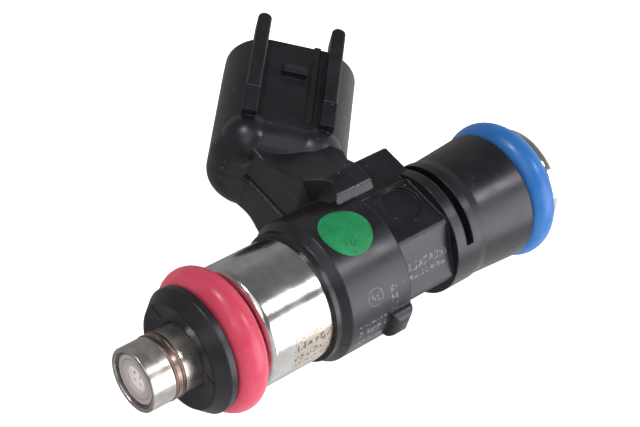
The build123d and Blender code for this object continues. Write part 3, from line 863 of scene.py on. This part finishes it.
@dataclass(frozen=True)
class FrameDress:
    """Finish of every CAD node."""

    finishes: dict[str, Finish] = field(
        default_factory=lambda: {
            "lower_o_ring": PINK_RUBBER,
            "upper_o_ring": BLUE_RUBBER,
            "valve_sleeve": STAINLESS,
            "nozzle_weld_beads": WELD,
            "valve_seat": INNER_STEEL,
            "spray_orifice_plate": SPRAY_PLATE,
            "valve_ball": POLISHED,
            "valve_needle": INNER_STEEL,
            "armature": INNER_STEEL,
            "return_spring": SPRING_STEEL,
            "inner_pole": INNER_STEEL,
            "adjusting_sleeve": BRASS,
            "filter_frame": NATURAL_PLASTIC,
            "filter_mesh": GAUZE,
            "filter_ring": BRASS,
            "inlet_flange": POLISHED,
            "lower_support_cap": CAP_NYLON,
            "magnet_housing": NICKEL,
            "magnet_cover": POLISHED,
            "coil_bobbin": CAP_NYLON,
            "coil_winding": COPPER,
            "connector_blades": TIN,
            "coil_leads": COPPER,
            "overmoulded_body": BLACK_NYLON,
            "paint_dot": GREEN_PAINT,
        }
    )

    def dress(self, nodes: dict[str, bpy.types.Object]) -> None:
        """Gives every node its finish.

        Args:
            nodes: The frame's nodes by name.
        """
        for name, node in nodes.items():
            finish = self.finishes[name]
            for slot in node.material_slots:
                slot.material = finish.material()
            LOG.info("%s dressed in %s", name, finish.name)


# ---------------------------------------------------------------- studio


@dataclass(frozen=True)
class Camera:
    """Bench camera, above the nozzle side and looking along the valve."""

    aim: Vector = Vector((0.0181, 0.00604, 0.00158))
    distance: float = 0.1721
    azimuth: float = -52.77
    elevation: float = 46.95
    roll: float = 17.49
    lens: float = 97.03
    sensor_width: float = 36.0
    clip: tuple[float, float] = (0.01, 10.0)

    def outward(self) -> Vector:
        """Direction from the object to the camera."""
        turn = math.radians(self.azimuth)
        rise = math.radians(self.elevation)
        level = math.cos(rise)
        return Vector((math.sin(turn) * level, -math.cos(turn) * level, math.sin(rise)))

    def build(self) -> bpy.types.Object:
        """Makes the camera and sets it as the scene's.

        Returns:
            The camera object.
        """
        data = bpy.data.cameras.new("bench_camera")
        data.lens = self.lens
        data.sensor_width = self.sensor_width
        data.clip_start, data.clip_end = self.clip
        camera = bpy.data.objects.new("bench_camera", data)
        level = self.outward().to_track_quat("Z", "Y").to_matrix().to_4x4()
        rolled = level @ Matrix.Rotation(math.radians(self.roll), 4, "Z")
        camera.matrix_world = Matrix.Translation(self.aim + self.outward() * self.distance) @ rolled
        bpy.context.scene.collection.objects.link(camera)
        bpy.context.scene.camera = camera
        return camera


@dataclass(frozen=True)
class SoftBox:
    """Square lamp at a direction from the object, with the brightness of its face."""

    name: str
    direction: tuple[float, float, float]
    side: float
    radiance: float
    distance: float = 0.5

    def build(self, middle: Vector) -> bpy.types.Object:
        """Adds the lamp, turned to the object.

        Args:
            middle: Centre of the object.

        Returns:
            The lamp object.
        """
        data = bpy.data.lights.new(self.name, "AREA")
        data.shape = "SQUARE"
        data.size = self.side
        data.energy = self.radiance * math.pi * self.side**2
        away = Vector(self.direction).normalized()
        lamp = bpy.data.objects.new(self.name, data)
        turn = away.to_track_quat("Z", "Y").to_matrix().to_4x4()
        lamp.matrix_world = Matrix.Translation(middle + away * self.distance) @ turn
        bpy.context.scene.collection.objects.link(lamp)
        return lamp


@dataclass(frozen=True)
class OpalSheet(Finish):
    """Opal acrylic table: white, faintly lit from below, so shadows nearly vanish."""

    glow: float

    def nodes(self, tree: NodeTree) -> bpy.types.Material:
        """White sheet with an even glow and hardly any tone."""
        tone = tree.ramp(tree.noise(60.0), [(NOISE_LOW, "F1F1F1"), (NOISE_HIGH, "F7F7F7")])
        white = (1.0, 1.0, 1.0, 1.0)
        return tree.close(
            Base_Color=tone, Roughness=0.7, Emission_Color=white, Emission_Strength=self.glow
        )


@dataclass(frozen=True)
class Studio:
    """Opal table, soft boxes, and a surround that is bright on the window side."""

    table_size: float = 3.0
    gap: float = 0.0003
    glow: float = 0.9
    window_direction: tuple[float, float, float] = (0.6, -0.8, 0.0)
    window_fade: tuple[float, float] = (-0.15, 0.6)
    overhead_fade: tuple[float, float] = (0.28, 0.66)
    back_tone: float = 0.3
    window_tone: float = 0.95
    overhead_tone: float = 0.18
    lamps: tuple[SoftBox, ...] = (
        SoftBox("front_box", (-0.62, -0.30, 0.72), 0.22, 1.8),
        SoftBox("top_box", (-0.30, -0.15, 0.95), 0.35, 1.0),
        SoftBox("right_box", (0.50, -0.82, 0.22), 0.42, 3.2),
        SoftBox("left_spot", (-0.29, 0.35, 0.88), 0.07, 50.0),
        SoftBox("right_spot", (0.48, -0.38, 0.79), 0.06, 50.0),
    )

    def table(self, lowest: float) -> bpy.types.Object:
        """Makes the table just under the object.

        Args:
            lowest: Height of the object's lowest point.

        Returns:
            The table object.
        """
        mesh = bmesh.new()
        bmesh.ops.create_grid(mesh, x_segments=1, y_segments=1, size=self.table_size / 2)
        bmesh.ops.translate(mesh, verts=mesh.verts, vec=(0, 0, lowest - self.gap))
        data = bpy.data.meshes.new("table")
        mesh.to_mesh(data)
        mesh.free()
        table = bpy.data.objects.new("table", data)
        bpy.context.scene.collection.objects.link(table)
        data.materials.append(OpalSheet("opal_acrylic", self.glow).material())
        # the sheet is matt and thin, so reflections show the room round it and not the sheet
        table.visible_glossy = False
        table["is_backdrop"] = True
        return table

    def surround(self) -> None:
        """Sets a surround that is bright low on the window side and dark overhead and behind."""
        world = bpy.data.worlds.new("studio_surround")
        tree = NodeTree(world)
        toward = tree.add(
            "ShaderNodeVectorMath",
            {0: tree.place, 1: self.window_direction},
            operation="DOT_PRODUCT",
        ).outputs["Value"]
        tones = (self.back_tone, self.window_tone)
        low_tone = tree.rescale(toward, *self.window_fade, *tones, "SMOOTHSTEP")
        _, _, height = tree.coordinates()
        rise = tree.rescale(height, *self.overhead_fade, 0.0, 1.0, "SMOOTHSTEP")
        tone = tree.add("ShaderNodeMix", {0: rise, 2: low_tone, 3: self.overhead_tone}).outputs[0]
        background = tree.add("ShaderNodeBackground", {"Color": tone})
        tree.tree.links.new(background.outputs[0], tree.output.inputs["Surface"])
        bpy.context.scene.world = world

    def build(self, low: Vector, high: Vector) -> None:
        """Sets up the table, the lamps and the surround.

        Args:
            low: Lowest corner of the object.
            high: Highest corner of the object.
        """
        middle = (low + high) / 2
        self.table(low.z)
        self.surround()
        for lamp in self.lamps:
            lamp.build(middle)
        bpy.context.scene.view_settings.view_transform = "Standard"
        LOG.info("studio ready")


def main() -> None:
    """Builds the scene."""
    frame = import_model()
    low, high = (Vector(corner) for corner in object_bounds())
    Camera().build()
    FrameDress().dress(frame["nodes"])
    WeldBeads().build()
    Studio().build(low, high)


if __name__ == "__main__":
    main()
